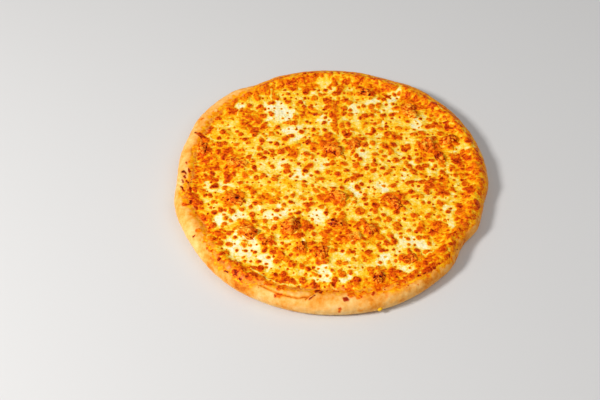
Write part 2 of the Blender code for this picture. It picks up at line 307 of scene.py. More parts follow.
def cheese_edge(direction):
    """Distance from the middle to the cheese's ragged edge."""
    bare = by_direction(BARE_RIM_MM, direction) * MM
    x, y = place_of(direction, MEAN_RADIUS)
    ragged = wave(x, y, EDGE_WAVE) + wave(x, y, FINE_EDGE_WAVE)
    return outline(direction) - bare + ragged * np.clip(bare / FULL_WAVE_BARE, 0, 1)


def away_from_path(x, y, path_mm):
    """Distance from every place to a line through points in mm."""
    nearest = np.full(x.shape, np.inf)
    for start, end in zip(path_mm[:-1], path_mm[1:]):
        along_x, along_y = (end[0] - start[0]) * MM, (end[1] - start[1]) * MM
        off_x, off_y = x - start[0] * MM, y - start[1] * MM
        share = np.clip((off_x * along_x + off_y * along_y) / (along_x**2 + along_y**2), 0, 1)
        nearest = np.minimum(nearest, np.hypot(off_x - share * along_x, off_y - share * along_y))
    return nearest


def bent(x, y, bends, amount=1.0):
    """Places moved along x and along y, each by its own list of waves."""
    along, across = (sum(wave(x, y, form) for form in forms) for forms in bends)
    return x + amount * along, y + amount * across


def folds(x, y, table_mm):
    """Strength of the strongest fold of a table of (width, strength, path), fading out across its path."""
    strongest = np.zeros_like(x)
    for width, strength, path in table_mm:
        away = away_from_path(x, y, path) / (width * MM)
        strongest = np.maximum(strongest, strength * np.exp(-(away**2)))
    return strongest


def drips(x, y):
    """How far drips cover every place, and the depth of colour of the one that covers it most."""
    near_x, near_y = bent(x, y, DRIP_BENDS)
    most = np.zeros_like(x)
    colour = np.full_like(x, 0.6)
    for width, depth, path in DRIPS_MM:
        cover = ease(away_from_path(near_x, near_y, path) / (width * MM), 1.3, 0.8)
        colour = np.where(cover > most, depth, colour)
        most = np.maximum(most, cover)
    return most, colour


def random_spots(x, y, layer):
    """Yields (distance over radius, depth of colour) of the spots in the nine squares round a place.

    Each square of a grid holds at most one oval spot, moved, stretched, turned and sized at random."""
    spacing, smallest, largest, share, least, greatest, seed = layer
    draw = np.random.default_rng(seed)
    squares = (NOISE_GRID, NOISE_GRID)
    moved_x = draw.uniform(-SPOT_SHIFT, SPOT_SHIFT, squares)
    moved_y = draw.uniform(-SPOT_SHIFT, SPOT_SHIFT, squares)
    radius = smallest + (largest - smallest) * draw.uniform(0, 1, squares) ** 1.4
    stretch = draw.uniform(1.0, 1.25, squares)
    turn = draw.uniform(0, math.pi, squares)
    depth = draw.uniform(least, greatest, squares)
    radius = np.where(draw.uniform(0, 1, squares) < share, radius, 0.01 * MM)
    column = np.floor(x / spacing).astype(int)
    row = np.floor(y / spacing).astype(int)
    for columns in (-1, 0, 1):
        for rows in (-1, 0, 1):
            square = ((column + columns) % NOISE_GRID, (row + rows) % NOISE_GRID)
            off_x = x - (column + columns + 0.5 + moved_x[square]) * spacing
            off_y = y - (row + rows + 0.5 + moved_y[square]) * spacing
            along = off_x * np.cos(turn[square]) + off_y * np.sin(turn[square])
            across = off_y * np.cos(turn[square]) - off_x * np.sin(turn[square])
            away = np.hypot(along / stretch[square], across * stretch[square] ** 0.5) / radius[square]
            yield away, depth[square]


def shell_faces(rings, around):
    """Quads between rings of points and a fan at each end, for points listed as pole, rings and pole."""
    here = np.arange(around)
    there = (here + 1) % around
    start = 1 + np.arange(rings - 1)[:, None] * around
    quads = np.stack([start + here, start + around + here, start + around + there, start + there], axis=-1)
    last = 1 + (rings - 1) * around
    first_fan = np.stack([0 * here, 1 + here, 1 + there], axis=-1)
    last_fan = np.stack([0 * here + last + around, last + there, last + here], axis=-1)
    return quads.reshape(-1, 4).tolist() + first_fan.tolist() + last_fan.tolist()


def make_piece(name, points, faces, material, **fields):
    """A smooth mesh from its places and faces, with a number at each point for every named field."""
    mesh = bpy.data.meshes.new(name)
    mesh.from_pydata(points.tolist(), [], faces)
    for field, values in fields.items():
        attribute = mesh.attributes.new(field, "FLOAT", "POINT")
        attribute.data.foreach_set("value", np.asarray(values, np.float32))
    mesh.shade_smooth()
    mesh.materials.append(material)
    piece = bpy.data.objects.new(name, mesh)
    scene.collection.objects.link(piece)
    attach(piece, "root")
    return piece


def crust_profile():
    """Insets and heights from the well over the crest and down to the underside's middle."""
    slope = np.linspace(WELL_INSET, CREST_INSET, SLOPE_RINGS + 1)
    shoulder = np.radians(np.linspace(0, 90, SHOULDER_RINGS + 1))[1:]
    foot = np.radians(np.linspace(0, 90, FOOT_RINGS + 1))[1:]
    insets = np.concatenate([slope, CREST_INSET * (1 - np.sin(shoulder)), FOOT_INSET * (1 - np.cos(foot))])
    heights = np.concatenate([crust_top(slope), RIM_WIDEST + (RIM_CREST - RIM_WIDEST) * np.cos(shoulder),
                              RIM_WIDEST * (1 - np.sin(foot))])
    return insets, heights


def build_crust():
    """Places and fields of the crust: its profile swept round by direction, roughened and creased."""
    insets, heights = crust_profile()
    direction = np.linspace(0, 2 * math.pi, CRUST_AROUND, endpoint=False)[None, :]
    reach = outline(direction)
    profile = reach - insets[:, None]
    well = (reach - WELL_INSET) * np.linspace(0, 1, WELL_RINGS + 1)[1:-1, None]
    base = (reach - FOOT_INSET) * np.linspace(1, 0, BASE_RINGS + 1)[1:-1, None]
    radius = np.concatenate([well, profile, base])
    height = np.concatenate([0 * well + WELL_HEIGHT, heights[:, None] + 0 * profile, 0 * base])
    inset = reach - radius
    outer = height < RIM_WIDEST
    height = height + np.where(outer, 0, rim_unevenness(direction, inset, height))
    x, y = place_of(direction, radius)

    # Places on the skin as if it were rolled out flat, so that its grain isn't drawn out down the wall.
    inwards = np.diff(profile, axis=0, prepend=profile[:1])
    upwards = np.diff(heights, prepend=heights[0])[:, None]
    rolled = np.concatenate([well, profile[:1] + np.hypot(inwards, upwards).cumsum(axis=0), base])
    skin_x, skin_y = place_of(direction, rolled)
    crease = folds(x, y, CREASES_MM) * ~outer
    pale = folds(x, y, PALE_FOLDS_MM)
    drip, drip_depth = drips(x, y)
    from_cheese = radius - cheese_edge(direction)
    near_cheese = ease(from_cheese + wave(x, y, SHORT_RIM_WAVE) * 3, SPECKS_REACH, 1 * MM)
    for away, depth in random_spots(x, y, EDGE_SPECKS):
        cover = ease(away, 1.3, 0.7) * near_cheese
        drip_depth = np.where(cover > drip, depth, drip_depth)
        drip = np.maximum(drip, cover)
    drip = drip * ~outer
    film_reach = by_direction(FILM_REACH_MM, direction) * MM
    film = ease(from_cheese + wave(x, y, FILM_WAVE), film_reach, 0) * ~outer

    # The grain lowers the top and draws in the wall, so that the rim never passes its outline.
    grain = wave(skin_x, skin_y, PIMPLES) + wave(skin_x, skin_y, GRAIN) - GRAIN_SUNK
    grain = np.minimum(grain, LEAST_GRAIN) * ease(height, 0.5 * MM, 4 * MM)
    steepness = np.clip((CREST_INSET - inset) / CREST_INSET, 0, 1) * (inset < CREST_INSET)
    z = np.maximum(height + (grain + (DRIP_HEIGHT * drip - crease) * MM) * (1 - steepness), 0)
    drawn_in = 1 + grain * steepness / np.maximum(radius, MM)
    x = x * drawn_in
    y = y * drawn_in

    # Depth of baking: more by the cheese and where the rim is nearly covered, less low on the outer wall.
    covered = ease(by_direction(BARE_RIM_MM, direction), 8, 3)
    oil = 0.3 * ease(from_cheese, 9 * MM, 0) * ~outer + 0.6 * covered
    patches = sum(wave(skin_x, skin_y, form) for form in SKIN_PATCHES)
    low = ease(height, 9 * MM, 4 * MM)
    baked = DOUGH_BAKED + patches + OILED * oil - FOLD_PALENESS * pale - FOOT_PALENESS * low
    underside = ease(height, 1.5 * MM, 0.2 * MM)
    baked = baked * (1 - underside) + (UNDERSIDE_BAKED + 2 * patches) * underside
    # The crease field also darkens the dough's colour in the creases, as painted shade.
    fields = {"baked": baked, "drip": np.maximum(drip, film), "crease": np.clip(crease, 0, 1),
              "drip_depth": np.where(film > drip, FILM_DEPTH, drip_depth)}

    def with_poles(grid, top, bottom):
        return np.concatenate([[top], grid.ravel(), [bottom]])

    points = np.stack([with_poles(x, 0, 0), with_poles(y, 0, 0), with_poles(z, WELL_HEIGHT, 0)], axis=1)
    fields = {name: with_poles(grid, 0.5, 0.5) for name, grid in fields.items()}
    return points, shell_faces(len(x), CRUST_AROUND), fields


def colour_ramp(tree, factor, stops):
    """A colour ramp through (position, screen red, green, blue) stops, turned into linear colours."""
    ramp = add_node(tree, "ShaderNodeValToRGB", {"Fac": factor})
    elements = ramp.color_ramp.elements
    while len(elements) < len(stops):
        elements.new(1)
    for element, (position, *screen) in zip(elements, stops):
        element.position = position
        element.color = [(part / 255) ** 2.2 for part in screen] + [1]
    return ramp.outputs["Color"]


def calculate(tree, operation, first, second=0.0, third=0.0, clamp=False):
    """One sum on two or three numbers or sockets."""
    return add_node(tree, "ShaderNodeMath", {0: first, 1: second, 2: third}, operation=operation,
                    use_clamp=clamp).outputs[0]


def scaled(tree, value, factor, offset, clamp=False):
    """A value times a factor, plus an offset."""
    return calculate(tree, "MULTIPLY_ADD", value, factor, offset, clamp)


def on_vectors(tree, operation, *values):
    """One sum on vectors or sockets."""
    return add_node(tree, "ShaderNodeVectorMath", dict(enumerate(values)), operation=operation).outputs[0]


def noise(tree, size, detail=2.0, roughness=0.5):
    """Cloudy noise from 0 to 1 with patches of about that size, in the piece's own coordinates."""
    place = add_node(tree, "ShaderNodeTexCoord").outputs["Object"]
    inputs = {"Vector": place, "Scale": 0.5 / size, "Detail": detail, "Roughness": roughness}
    return add_node(tree, "ShaderNodeTexNoise", inputs).outputs["Fac"]


def field(tree, name):
    """A number that the mesh carries at each point."""
    return add_node(tree, "ShaderNodeAttribute", attribute_name=name).outputs["Fac"]


DOUGH_COLOURS = (
    (0.00, 255, 220, 156), (0.25, 254, 200, 120), (0.45, 250, 176, 84), (0.62, 240, 146, 44),
    (0.78, 214, 106, 20), (0.90, 160, 66, 10), (1.00, 88, 30, 6),
)


def new_group(name, inputs, outputs):
    """An empty shader group with named number inputs (name: default) and (name, kind) outputs."""
    group = bpy.data.node_groups.new(name, "ShaderNodeTree")
    for title, value in inputs.items():
        socket = group.interface.new_socket(title, in_out="INPUT", socket_type="NodeSocketFloat")
        socket.default_value = value
    for title, kind in outputs:
        group.interface.new_socket(title, in_out="OUTPUT", socket_type=kind)
    return group, group.nodes.new("NodeGroupInput").outputs, group.nodes.new("NodeGroupOutput")


def add_group(tree, group, **inputs):
    """The outputs of a group that is used in a tree with those inputs."""
    return add_node(tree, "ShaderNodeGroup", inputs, node_tree=group).outputs


# Baked dough's colour and skin, which also show through the thin edge of the cheese.
dough_skin, given, result = new_group("dough_skin", {"Baked": 0.4},
                                      (("Color", "NodeSocketColor"), ("Height", "NodeSocketFloat")))
freckles = noise(dough_skin, 1.5 * MM, detail=4, roughness=0.65)
mottle = noise(dough_skin, 6 * MM, detail=4, roughness=0.6)
mixed = scaled(dough_skin, freckles, 0.42, scaled(dough_skin, mottle, 0.46, -0.44))
baked = calculate(dough_skin, "ADD", mixed, given["Baked"], clamp=True)
pores = noise(dough_skin, 0.9 * MM, detail=5, roughness=0.7)
skin = calculate(dough_skin, "ADD", pores, noise(dough_skin, 3.5 * MM, detail=3))
feed(dough_skin, result, {"Color": colour_ramp(dough_skin, baked, DOUGH_COLOURS), "Height": skin})

BAKED_COLOURS = (
    (0.00, 252, 243, 204), (0.12, 253, 235, 160), (0.24, 254, 220, 104), (0.35, 254, 203, 50),
    (0.46, 252, 180, 18), (0.58, 248, 144, 6), (0.68, 236, 104, 2), (0.78, 206, 66, 1),
    (0.88, 150, 36, 1), (1.00, 68, 14, 1),
)


def moved(tree, place, size, amount):
    """A place shifted by cloudy noise of that size, by up to about half the amount."""
    inputs = {"Vector": place, "Scale": 0.5 / size, "Detail": 1.0}
    clouds = add_node(tree, "ShaderNodeTexNoise", inputs).outputs["Color"]
    centred = on_vectors(tree, "SUBTRACT", clouds, (0.5, 0.5, 0.5))
    return on_vectors(tree, "MULTIPLY_ADD", centred, (amount, amount, amount), place)


def smooth_step(tree, value, start, end):
    """0 before start and 1 past end, with a smooth S between them."""
    inputs = {"Value": value, "From Min": start, "From Max": end}
    return add_node(tree, "ShaderNodeMapRange", inputs, interpolation_type="SMOOTHSTEP").outputs["Result"]


def threads(tree, place, size, stretch, width):
    """Thin winding threads from left to right: where cloudy noise crosses its middle value."""
    drawn_out = on_vectors(tree, "MULTIPLY", place, (1 / stretch, stretch, 1))
    inputs = {"Vector": drawn_out, "Scale": 0.5 / size, "Detail": 1.5}
    clouds = add_node(tree, "ShaderNodeTexNoise", inputs).outputs["Fac"]
    off_middle = calculate(tree, "ABSOLUTE", calculate(tree, "SUBTRACT", clouds, 0.5))
    return smooth_step(tree, off_middle, width, 0.3 * width)


# Baked cheese: cream, yellow, amber, orange, then brown, with fine specks, pale threads and dark creases
# between them, whose darkness is partly browner cheese and partly painted shade. The meat takes its depth
# of baking and its relief from here, and has its own colours.
browning, given, result = new_group("browning", {"Baked": 0.4, "Grain": 0.2, "Threads": 0.2},
                                    (("Color", "NodeSocketColor"), ("Baked", "NodeSocketFloat"),
                                     ("Height", "NodeSocketFloat")))
place = add_node(browning, "ShaderNodeTexCoord").outputs["Object"]
place = moved(browning, place, 4 * MM, 4 * MM)
grain = noise(browning, 0.8 * MM, detail=4, roughness=0.65)
clots = noise(browning, 2.4 * MM, detail=3, roughness=0.6)
both = scaled(browning, clots, 1.0, grain)
centred = calculate(browning, "SUBTRACT", both, 1.0)
pale_threads = threads(browning, place, 3.0 * MM, 1.25, 0.070)
# Dark creases: browner cheese with painted shade drawn into them.
shaded_crease_lines = threads(browning, place, 4.2 * MM, 1.15, 0.040)
lines = calculate(browning, "SUBTRACT", shaded_crease_lines, pale_threads)
lined = scaled(browning, lines, given["Threads"], given["Baked"])
grained = calculate(browning, "MULTIPLY", centred, given["Grain"])
speckled = scaled(browning, grained, 1.25, lined, clamp=True)
raised = scaled(browning, lines, -0.35, both)
coloured = colour_ramp(browning, speckled, BAKED_COLOURS)
feed(browning, result, {"Color": coloured, "Baked": speckled, "Height": raised})


def mixed_colour(tree, factor, first, second):
    """The first colour, turned into the second by a factor."""
    return add_node(tree, "ShaderNodeMix", {0: factor, 6: first, 7: second}, data_type="RGBA").outputs[2]


def add_relief(tree, shader, height, strength, depth):
    """Bump on a shader, from a height that runs from about 0 to 1 for a depth in metres."""
    relief = add_node(tree, "ShaderNodeBump", {"Height": height, "Strength": strength, "Distance": depth})
    feed(tree, shader, {"Normal": relief.outputs["Normal"]})


crust_material, tree, shader = new_material("golden_crust")
# Darker dough in the creases and cracks is painted shade, deeper where the crease is deeper.
painted_crease_shade = calculate(tree, "POWER", field(tree, "crease"), 2.0)
dough = add_group(tree, dough_skin, Baked=scaled(tree, painted_crease_shade, 0.34, field(tree, "baked")))
toasted = add_group(tree, browning, Baked=field(tree, "drip_depth"), Threads=0.1)
dripped = mixed_colour(tree, field(tree, "drip"), dough["Color"], toasted["Color"])
feed(tree, shader, {"Base Color": dripped, "Roughness": 0.55, "Specular IOR Level": 0.08})
add_relief(tree, shader, dough["Height"], 0.6, 0.4 * MM)

crust_points, crust_faces, crust_fields = build_crust()
crust = make_piece("crust_skin", crust_points, crust_faces, crust_material, **crust_fields)
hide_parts("crust")

# The cheese
# One layer of shredded cheese, melted together in the oven and browned: blisters where bubbles rose and
# scorched, paler pools where it stayed wet, and toasted zones. It runs up the rim and ends in a thin
# ragged lip.
CHEESE_LEVEL = 16.6 * MM
CHEESE_FILM = 1.4 * MM
BROAD_WAVE = (42 * MM, 0.9 * MM, 4)
FINE_WAVE = (13 * MM, 0.7 * MM, 5)
JOIN_ROUNDING = 1.5 * MM
SWELL_REACH = 7 * MM
SWELL_HEIGHT = 1.1 * MM
# The pieces of meat that lie in it: (number, middle, length, width, height above the cheese, heading), in
# mm.
MEAT_PIECES = (
    (1, (-35, -60), 22, 19, 6.5, 70), (2, (-77, -67), 21, 16, 5.5, 145), (3, (-59, -76), 12, 10, 3.5, 20),
    (4, (-28, -84), 13, 10, 3.5, 80), (5, (-8, -90), 18, 13, 4.5, 65), (6, (8, -25), 20, 13, 4.5, 140),
    (7, (2, 34), 23, 15, 5.0, 165), (8, (25, 42), 14, 12, 4.5, 60), (9, (97, 41), 17, 14, 5.0, 100),
    (10, (118, 46), 14, 12, 4.5, 30), (11, (107, 24), 17, 11, 4.0, 130), (12, (81, 85), 24, 15, 5.5, 105),
    (13, (59, -29), 22, 12, 4.5, 125), (14, (22, -72), 15, 11, 4.0, 15), (15, (5, -56), 17, 10, 3.5, 175),
    (16, (36, -64), 13, 11, 3.5, 130), (17, (-89, 17), 19, 13, 4.0, 170),
    (18, (-90, -29), 22, 13, 4.5, 150), (19, (38, 113), 16, 12, 4.0, 150),
    (20, (72, -97), 16, 12, 4.5, 10), (21, (42, -118), 15, 11, 3.5, 60),
    (22, (-123, 38), 18, 10, 3.5, 80),
)
# Pale wet pools and toasted zones: (x, y, radius, strength), in mm.
POOLS_MM = (
    (-82, -82, 21, 1.1), (-50, -45, 13, 0.7), (-10, -48, 13, 0.6), (-60, -100, 11, 0.8),
    (-8, -115, 10, 1.1), (12, -118, 9, 0.8), (48, -97, 8, 0.9), (68, -106, 7, 0.8), (74, -76, 11, 0.8),
    (88, -81, 11, 0.8), (110, -58, 10, 0.6), (110, -40, 8, 0.6), (-100, -12, 9, 0.6), (-117, -10, 7, 0.4),
    (-86, -46, 10, 0.7), (-102, -52, 9, 0.7), (-30, 2, 11, 0.6), (-45, 14, 9, 0.5), (25, -13, 10, 0.5),
    (30, 32, 9, 0.5), (-35, 56, 11, 0.6), (-5, 18, 9, 0.5), (-50, 88, 16, 0.9), (-25, 62, 9, 0.6),
    (0, 122, 12, 0.7), (45, 100, 7, 0.9), (68, 108, 8, 0.9), (85, 70, 8, 0.8), (28, 90, 10, 0.6),
    (128, 36, 9, 0.7), (80, 15, 8, 0.5), (70, 0, 7, 0.4), (50, -10, 9, 0.4), (-88, 90, 7, 1.1),
    (-72, -32, 9, 0.4), (0, 75, 10, 0.5),
)
TOASTED_MM = (
    (-107, 22, 26, 1.0), (-75, 76, 20, 1.0), (-95, 85, 14, 0.8), (-60, 122, 16, 0.8), (-25, 130, 16, 0.7),
    (-22, 84, 14, 0.7), (8, 88, 15, 0.8), (0, 44, 17, 0.9), (25, 42, 13, 0.9), (-36, 34, 14, 0.7),
    (85, 98, 20, 1.0), (50, 118, 14, 0.7), (100, 38, 18, 1.0), (118, 46, 12, 0.9), (102, -10, 16, 0.9),
    (130, 10, 14, 0.8), (60, -25, 16, 0.8), (85, 10, 10, 0.6), (8, -64, 22, 0.8), (36, -66, 14, 0.9),
    (-32, -63, 16, 1.0), (-18, -89, 16, 0.9), (-12, -128, 10, 0.7), (-72, -117, 18, 1.0),
    (-45, -125, 14, 0.9), (-80, -62, 13, 0.8), (-59, -76, 9, 0.8), (-92, -28, 16, 0.7),
    (-55, -25, 14, 0.6), (95, -70, 17, 0.8), (122, -60, 14, 0.8), (92, -106, 16, 0.9),
    (45, -115, 13, 0.8), (32, -96, 12, 0.7), (-128, -32, 14, 0.9), (-125, 40, 16, 1.0),
    (-130, 0, 12, 0.8), (-119, -52, 13, 1.0), (-106, -72, 8, 0.8), (38, 72, 14, 0.5), (62, 52, 10, 0.5),
    (-5, -30, 12, 0.5), (-46, -92, 9, 0.5),
)
# The largest blisters, listed: (x, y, radius, depth of colour), in mm.
LARGE_BLISTERS_MM = (
    (-103, -68, 3.5, 0.6), (-93, -68, 3.0, 0.7), (-98, -57, 2.5, 0.6), (-95, -90, 2.5, 0.6),
    (-63, -107, 3.6, 1.0), (-53, -89, 3.5, 0.6), (-44, -95, 3.0, 0.6), (-35, -103, 4.0, 0.6),
    (-26, -105, 3.0, 0.6), (-40, -119, 3.5, 0.9), (12, -58, 4.0, 0.9), (27, -57, 3.0, 0.7),
    (37, -66, 4.5, 0.8), (47, -72, 2.5, 0.6), (51, -77, 2.5, 0.9), (10, -73, 4.0, 1.0),
    (-5, -68, 4.0, 0.7), (8, -112, 3.0, 0.6), (-8, -25, 4.5, 0.6), (-8, -37, 3.0, 0.6),
    (28, -42, 4.5, 0.8), (33, -27, 3.0, 0.6), (43, -35, 4.0, 0.9), (-46, 32, 3.5, 1.0),
    (-33, 29, 3.5, 1.0), (45, 28, 3.0, 0.9), (35, 49, 3.0, 0.7), (0, 54, 4.5, 0.7), (-42, 50, 4.0, 0.6),
    (26, 16, 3.5, 0.8), (-110, -12, 2.6, 1.0), (-114, -1, 3.5, 0.7), (-96, 0, 4.6, 0.8),
    (-98, 34, 4.5, 0.7), (-102, 28, 3.0, 0.7), (-67, 28, 3.0, 0.8), (-104, 58, 3.5, 0.9),
    (-73, 58, 4.0, 0.9), (-70, -32, 3.0, 0.7), (-63, 2, 3.0, 0.6), (65, 52, 3.5, 0.9), (65, 21, 3.5, 0.7),
    (86, 20, 3.5, 0.7), (87, 12, 3.8, 0.7), (91, 57, 3.0, 0.9), (109, 6, 3.4, 0.8), (95, -10, 4.6, 0.8),
    (106, -20, 4.0, 0.9), (128, -9, 3.0, 0.8), (133, -19, 4.2, 1.0), (124, 20, 5.0, 1.0),
    (72, -32, 3.0, 0.8), (62, -57, 3.0, 0.6), (100, -57, 4.6, 0.8), (87, -72, 3.0, 1.0),
    (65, -96, 4.0, 0.6), (91, -108, 3.0, 1.0), (55, -110, 4.0, 0.6), (-84, 108, 4.6, 0.8),
    (-94, 87, 4.6, 0.7), (-126, 53, 3.2, 1.0), (-130, -23, 3.0, 1.0), (-125, -38, 2.6, 1.0),
    (-118, -50, 2.8, 0.9), (-122, 30, 3.0, 1.0), (-24, 94, 2.6, 1.0), (7, 124, 4.0, 0.7),
    (13, 119, 3.6, 0.7), (44, 93, 3.6, 0.8), (37, 80, 3.0, 0.8), (6, 68, 3.5, 0.7), (57, 103, 3.0, 1.0),
    (103, 66, 3.0, 0.8), (118, 62, 2.6, 0.9), (0, 100, 4.0, 0.9),
)
# The others are drawn at random: (spacing, smallest and largest radius, share of places that hold one,
# least and greatest depth of colour, seed).
BLISTERS = (9.5 * MM, 2.2 * MM, 3.6 * MM, 0.80, 0.69, 1.04, 51)
BLISTER_DOME = 0.7 * MM
FURTHEST_AWAY = 4
# Lumps, and strands of shredded cheese that lie mostly from left to right.
LUMPS = (4.6 * MM, 1.0, 68)
LUMP_HEIGHT = 0.6 * MM
STRANDS = (2.6 * MM, 1.0, 74)
STRAND_HEIGHT = 0.3 * MM
STRAND_STRETCH = 0.65
CHEESE_GRAIN = (2.1 * MM, 0.15 * MM, 69)
POOL_SUNK = 0.35 * MM
# Golden zones, baked less than the toasted ones: (x, y, radius, strength), in mm.
GOLDEN_MM = (
    (10, 65, 12, 1), (74, 72, 22, 1), (84, -40, 24, 1), (-90, 56, 18, 1), (-70, -10, 18, 1),
    (8, 4, 18, 1), (-80, 38, 10, 1), (5, -128, 9, 1), (84, 32, 12, 1), (32, 0, 12, 0.8),
    (-30, 100, 12, 0.9), (-38, -20, 12, 0.8), (0, 118, 14, 0.9), (40, -10, 12, 0.8), (60, 4, 14, 0.8),
    (-20, -30, 10, 0.8), (30, -84, 10, 0.8),
)

# Pale strings of cheese that stayed on top, in mm.
STRINGS_MM = (
    ((-72, -107), (-64, -113), (-57, -119), (-51, -122)),
    ((-50, -123), (-42, -126), (-33, -126), (-28, -124)), ((-27, 106), (-24, 101), (-22, 96)),
    ((-56, 115), (-58, 107), (-56, 100)), ((-91, 96), (-89, 89), (-90, 82)),
    ((-3, -124), (3, -128), (6, -129)), ((-128, 52), (-124, 43), (-121, 36)), ((-117, 55), (-115, 47)),
    ((-84, -77), (-78, -79), (-72, -78)), ((-42, -67), (-36, -70), (-31, -67)), ((-26, -74), (-22, -79)),
    ((48, -90), (52, -96), (50, -101)), ((12, -107), (20, -110)), ((-17, -110), (-10, -113), (-2, -112)),
    ((22, 60), (30, 57)), ((62, 88), (70, 84)), ((110, 92), (115, 86)), ((-75, 20), (-74, 26), (-72, 32)),
    ((94, -88), (88, -92), (82, -91)), ((60, -104), (68, -106), (74, -102)), ((-14, 112), (-10, 118)),
)
STRING_WIDTH = 0.8 * MM
STRING_HEIGHT = 0.5 * MM

# What each kind of zone adds to the heat of the plain cheese, and how far inwards the hot rim reaches.
PLAIN_HEAT = 0.44
TOASTED_HEAT = 0.54
# The hot rim's browning is partly real toasting and partly painted shade where the cheese climbs the rim's
# inner slope.
RIM_HEAT = 0.48
POOL_HEAT = -0.74
GOLDEN_HEAT = -0.12
MEAT_HEAT = 0.25
HEAT_WAVES = ((26 * MM, 0.16, 65), (11 * MM, 0.16, 66))
HOT_RIM = (34 * MM, 15 * MM)
HOT_RIM_WAVE = (12 * MM, 8 * MM, 73)
# How zones and blisters are bent: (size, amount, seed) of the waves for x, and for y.
PATCH_BENDS = (((16 * MM, 6 * MM, 61), (6 * MM, 2 * MM, 71)), ((16 * MM, 6 * MM, 62), (6 * MM, 2 * MM, 72)))
BLISTER_BENDS = (((5.5 * MM, 1.0 * MM, 63),), ((5.5 * MM, 1.0 * MM, 64),))

GRID_CELLS = 290
# How far in from its edge the cheese is so thin that dough shows through, by direction.
THIN_EDGE_MM = (
    (0, 3), (48, 5), (90, 4), (120, 6), (150, 9), (200, 9), (215, 11), (232, 15), (245, 11), (262, 9),
    (280, 13), (292, 10), (308, 5), (330, 3),
)
MERGE_WIDTH = 8 * MM
MERGE_FILM = -0.4 * MM
LIP = 1.0 * MM
LIP_RINGS = 4
LIP_SUNK = 0.9 * MM
UNDER_SHARES = (0.975, 0.95, 0.925, 0.90, 0.86, 0.81)
UNDER_GAP = 0.05 * MM


def meat_swell(x, y):
    """How far the cheese rises over and beside the pieces of meat."""
    swell = np.zeros_like(x)
    for _, middle, length, width, _, _ in MEAT_PIECES:
        away = np.hypot(x - middle[0] * MM, y - middle[1] * MM) - (length + width) / 4 * MM
        swell = np.maximum(swell, np.clip(1 - away / SWELL_REACH, 0, 1))
    return SWELL_HEIGHT * swell**2 * (3 - 2 * swell)


def cheese_top(x, y):
    """Height of the cheese without blisters: a wavy level, turned into a film where the dough rises."""
    film = dough_height(x, y) + CHEESE_FILM
    level = CHEESE_LEVEL + meat_swell(x, y) + wave(x, y, BROAD_WAVE) + wave(x, y, FINE_WAVE)
    return (level + film + np.sqrt((level - film) ** 2 + JOIN_ROUNDING**2)) / 2


def patches_of(x, y, table_mm):
    """Strength of the strongest soft round patch of a table of (x, y, radius, strength)."""
    strength = np.zeros_like(x)
    for middle_x, middle_y, radius, most in table_mm:
        away = np.hypot(x - middle_x * MM, y - middle_y * MM) / (radius * MM)
        strength = np.maximum(strength, most * ease(away, 1.15, 0.35))
    return strength


def cheese_fields(x, y):
    """Heat, baking, nearness to blisters and strings, thinness at the edge and relief of the cheese.

    Heat from 0 to 1 says how hard a place was baked. It deepens the colour and enlarges the blisters."""
    far_x, far_y = bent(x, y, PATCH_BENDS)
    pool = np.clip(patches_of(far_x, far_y, POOLS_MM), 0, 1)
    toasted = patches_of(far_x, far_y, TOASTED_MM) * (1 - 0.8 * pool)
    golden = patches_of(far_x, far_y, GOLDEN_MM) * (1 - pool)
    direction = np.arctan2(y, x)
    inset = outline(direction) - np.hypot(x, y)
    to_edge = cheese_edge(direction) - np.hypot(x, y)
    # The hot rim: toasting, and partly painted shade on the rim's inner slope.
    rim = ease(inset + wave(x, y, HOT_RIM_WAVE), *HOT_RIM)
    heat = PLAIN_HEAT + TOASTED_HEAT * toasted + RIM_HEAT * rim + POOL_HEAT * pool + GOLDEN_HEAT * golden
    heat += sum(wave(x, y, form) for form in HEAT_WAVES) + MEAT_HEAT * meat_swell(x, y) / SWELL_HEIGHT
    heat = np.clip(heat, 0, 1)
    near_x, near_y = bent(x, y, BLISTER_BENDS, 0.3 + 1.2 * heat)

    lump = wave(near_x, near_y, LUMPS)
    strand = wave(near_x * STRAND_STRETCH, near_y / STRAND_STRETCH, STRANDS)
    baked = 0.06 + 0.55 * heat + 0.15 * golden + (0.20 * lump + 0.14 * strand) * (0.2 + heat)
    nearest = np.full_like(x, FURTHEST_AWAY)
    nearest_depth = np.full_like(x, 0.7)
    dome = np.zeros_like(x)

    def add_blister(away, depth, height):
        """Keeps the nearest blister at every place and raises its dome. Hot places have larger ones."""
        away = away / (0.90 + 0.30 * heat) * (1 + 3 * ease(heat, 0.3, 0.1) * (depth < 0.80))
        closer = away < nearest
        nearest[closer] = away[closer]
        nearest_depth[closer] = np.broadcast_to(depth, x.shape)[closer]
        np.maximum(dome, height * np.sqrt(np.clip(1 - (away / 1.25) ** 2, 0, 1)), out=dome)

    for away, depth in random_spots(near_x, near_y, BLISTERS):
        add_blister(away, depth, 1.0)
    for middle_x, middle_y, radius, depth in LARGE_BLISTERS_MM:
        away = np.hypot(near_x - middle_x * MM, near_y - middle_y * MM) / (radius * MM)
        add_blister(away, 0.66 + 0.34 * depth, 1.2)
    from_string = np.full_like(x, FURTHEST_AWAY)
    for path in STRINGS_MM:
        from_string = np.minimum(from_string, away_from_path(near_x, near_y, path) / STRING_WIDTH)
    relief = STRING_HEIGHT * np.exp(-(from_string**2)) + BLISTER_DOME * dome
    relief += (LUMP_HEIGHT * lump + STRAND_HEIGHT * strand) * (0.3 + 0.9 * heat)
    relief += wave(x, y, CHEESE_GRAIN) - POOL_SUNK * pool
    thin = ease(to_edge, by_direction(THIN_EDGE_MM, direction) * MM, 0)
    drip, drip_depth = drips(x, y)
    baked = np.clip(baked, 0, 0.8)
    fields = {"heat": heat, "baked": baked + (drip_depth - baked) * drip, "blister": nearest,
              "depth": nearest_depth, "string": from_string, "thin": thin * (1 - drip)}
    return fields, relief * (1 - 0.7 * thin)


